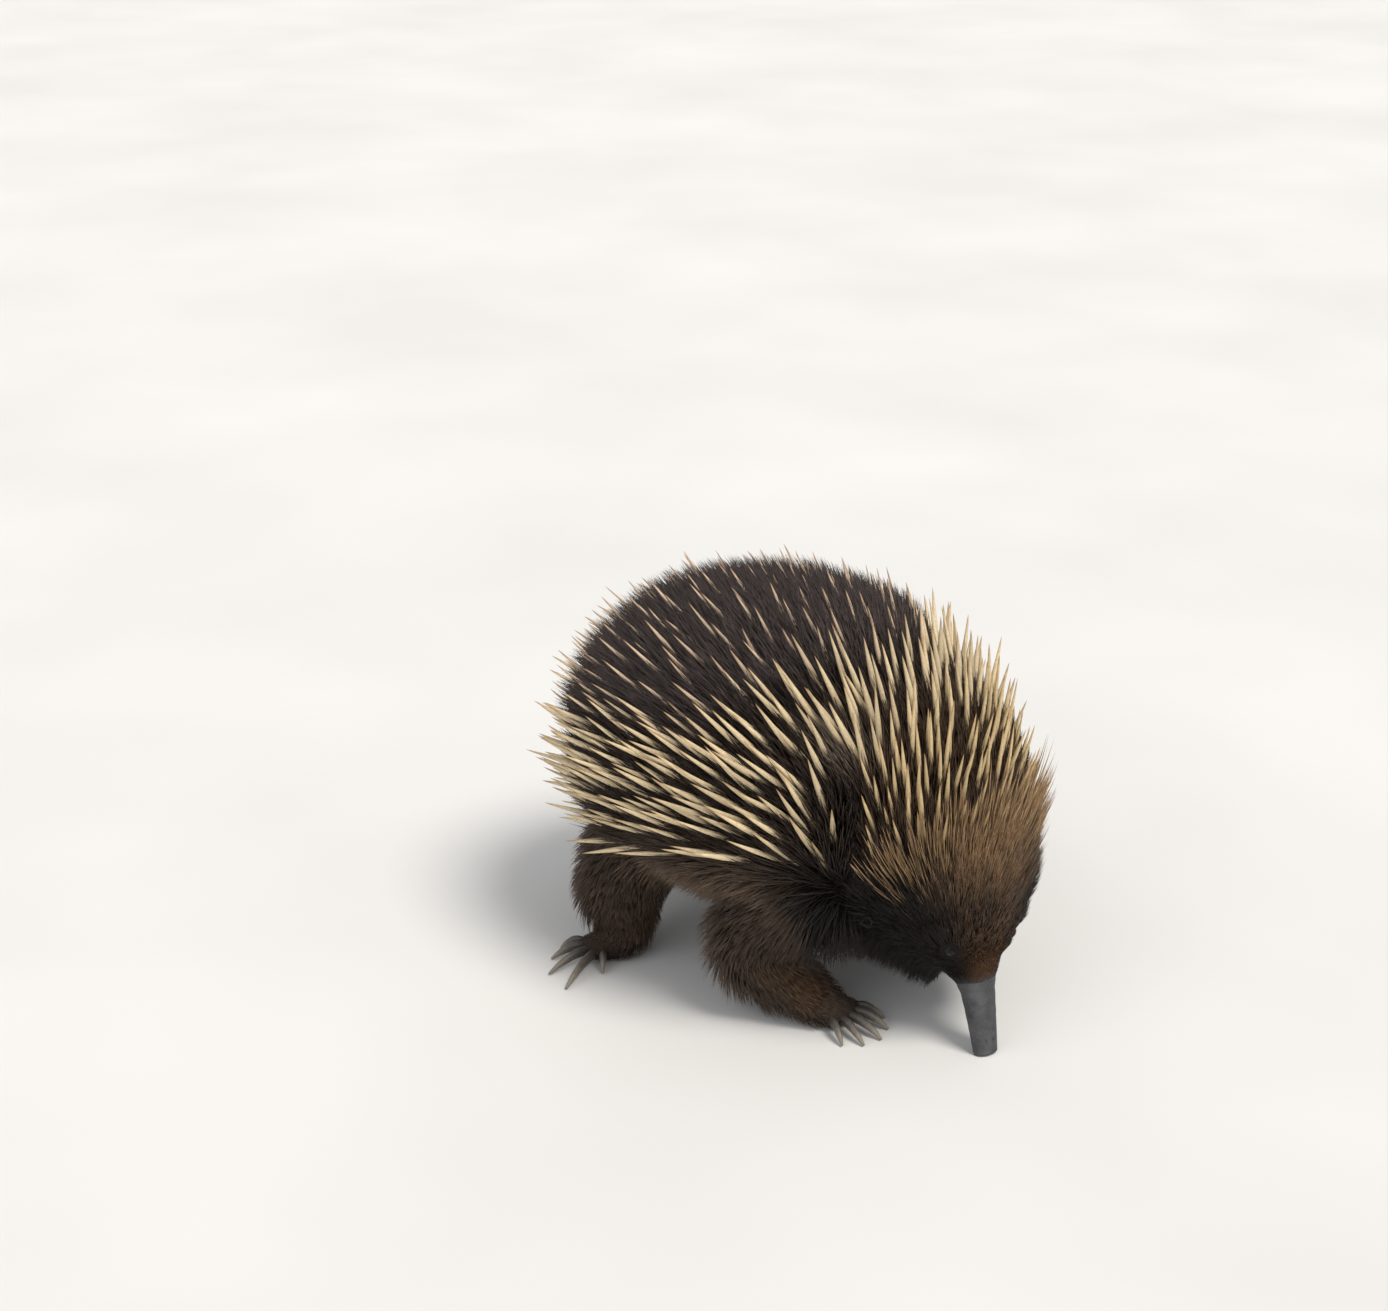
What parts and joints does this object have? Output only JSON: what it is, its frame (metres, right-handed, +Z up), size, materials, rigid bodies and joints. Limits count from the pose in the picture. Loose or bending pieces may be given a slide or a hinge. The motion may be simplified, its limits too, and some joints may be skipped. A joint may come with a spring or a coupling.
{
  "type": "short-beaked echidna figure",
  "caption": "Life-size standing short-beaked echidna with its head lowered, covered in spines and fur, for display.",
  "frame": {"origin": "on the floor under the middle of the whole animal's bounding box", "axes": "+Z up; the animal faces -Y; its left side is towards +X; its head turns about 20 degrees to its right"},
  "size_m": [0.245, 0.3144, 0.2337],
  "materials": {
    "spine_coat": "cream keratin spines standing in near-black hair",
    "fur": "short dark brown fur",
    "beak_skin": "bare dark grey leathery skin",
    "ear_skin": "bare dark skin",
    "claw_horn": "dark grey horn, dull",
    "eye": "wet black eye"
  },
  "bodies": {
    "root": {"beak": "beak_skin", "ear_left": "ear_skin", "ear_right": "ear_skin", "eye_left": "eye", "eye_right": "eye", "foreleg_claw_1_left": "claw_horn", "foreleg_claw_1_right": "claw_horn", "foreleg_claw_2_left": "claw_horn", "foreleg_claw_2_right": "claw_horn", "foreleg_claw_3_left": "claw_horn", "foreleg_claw_3_right": "claw_horn", "foreleg_claw_4_left": "claw_horn", "foreleg_claw_4_right": "claw_horn", "foreleg_claw_5_left": "claw_horn", "foreleg_claw_5_right": "claw_horn", "foreleg_left": "fur", "foreleg_right": "fur", "head": "fur", "hindleg_claw_1_left": "claw_horn", "hindleg_claw_1_right": "claw_horn", "hindleg_claw_2_left": "claw_horn", "hindleg_claw_2_right": "claw_horn", "hindleg_claw_3_left": "claw_horn", "hindleg_claw_3_right": "claw_horn", "hindleg_claw_4_left": "claw_horn", "hindleg_claw_4_right": "claw_horn", "hindleg_claw_5_left": "claw_horn", "hindleg_claw_5_right": "claw_horn", "hindleg_left": "fur", "hindleg_right": "fur", "neck": "spine_coat", "tail": "fur", "torso": "spine_coat"}
  },
  "joints": []
}
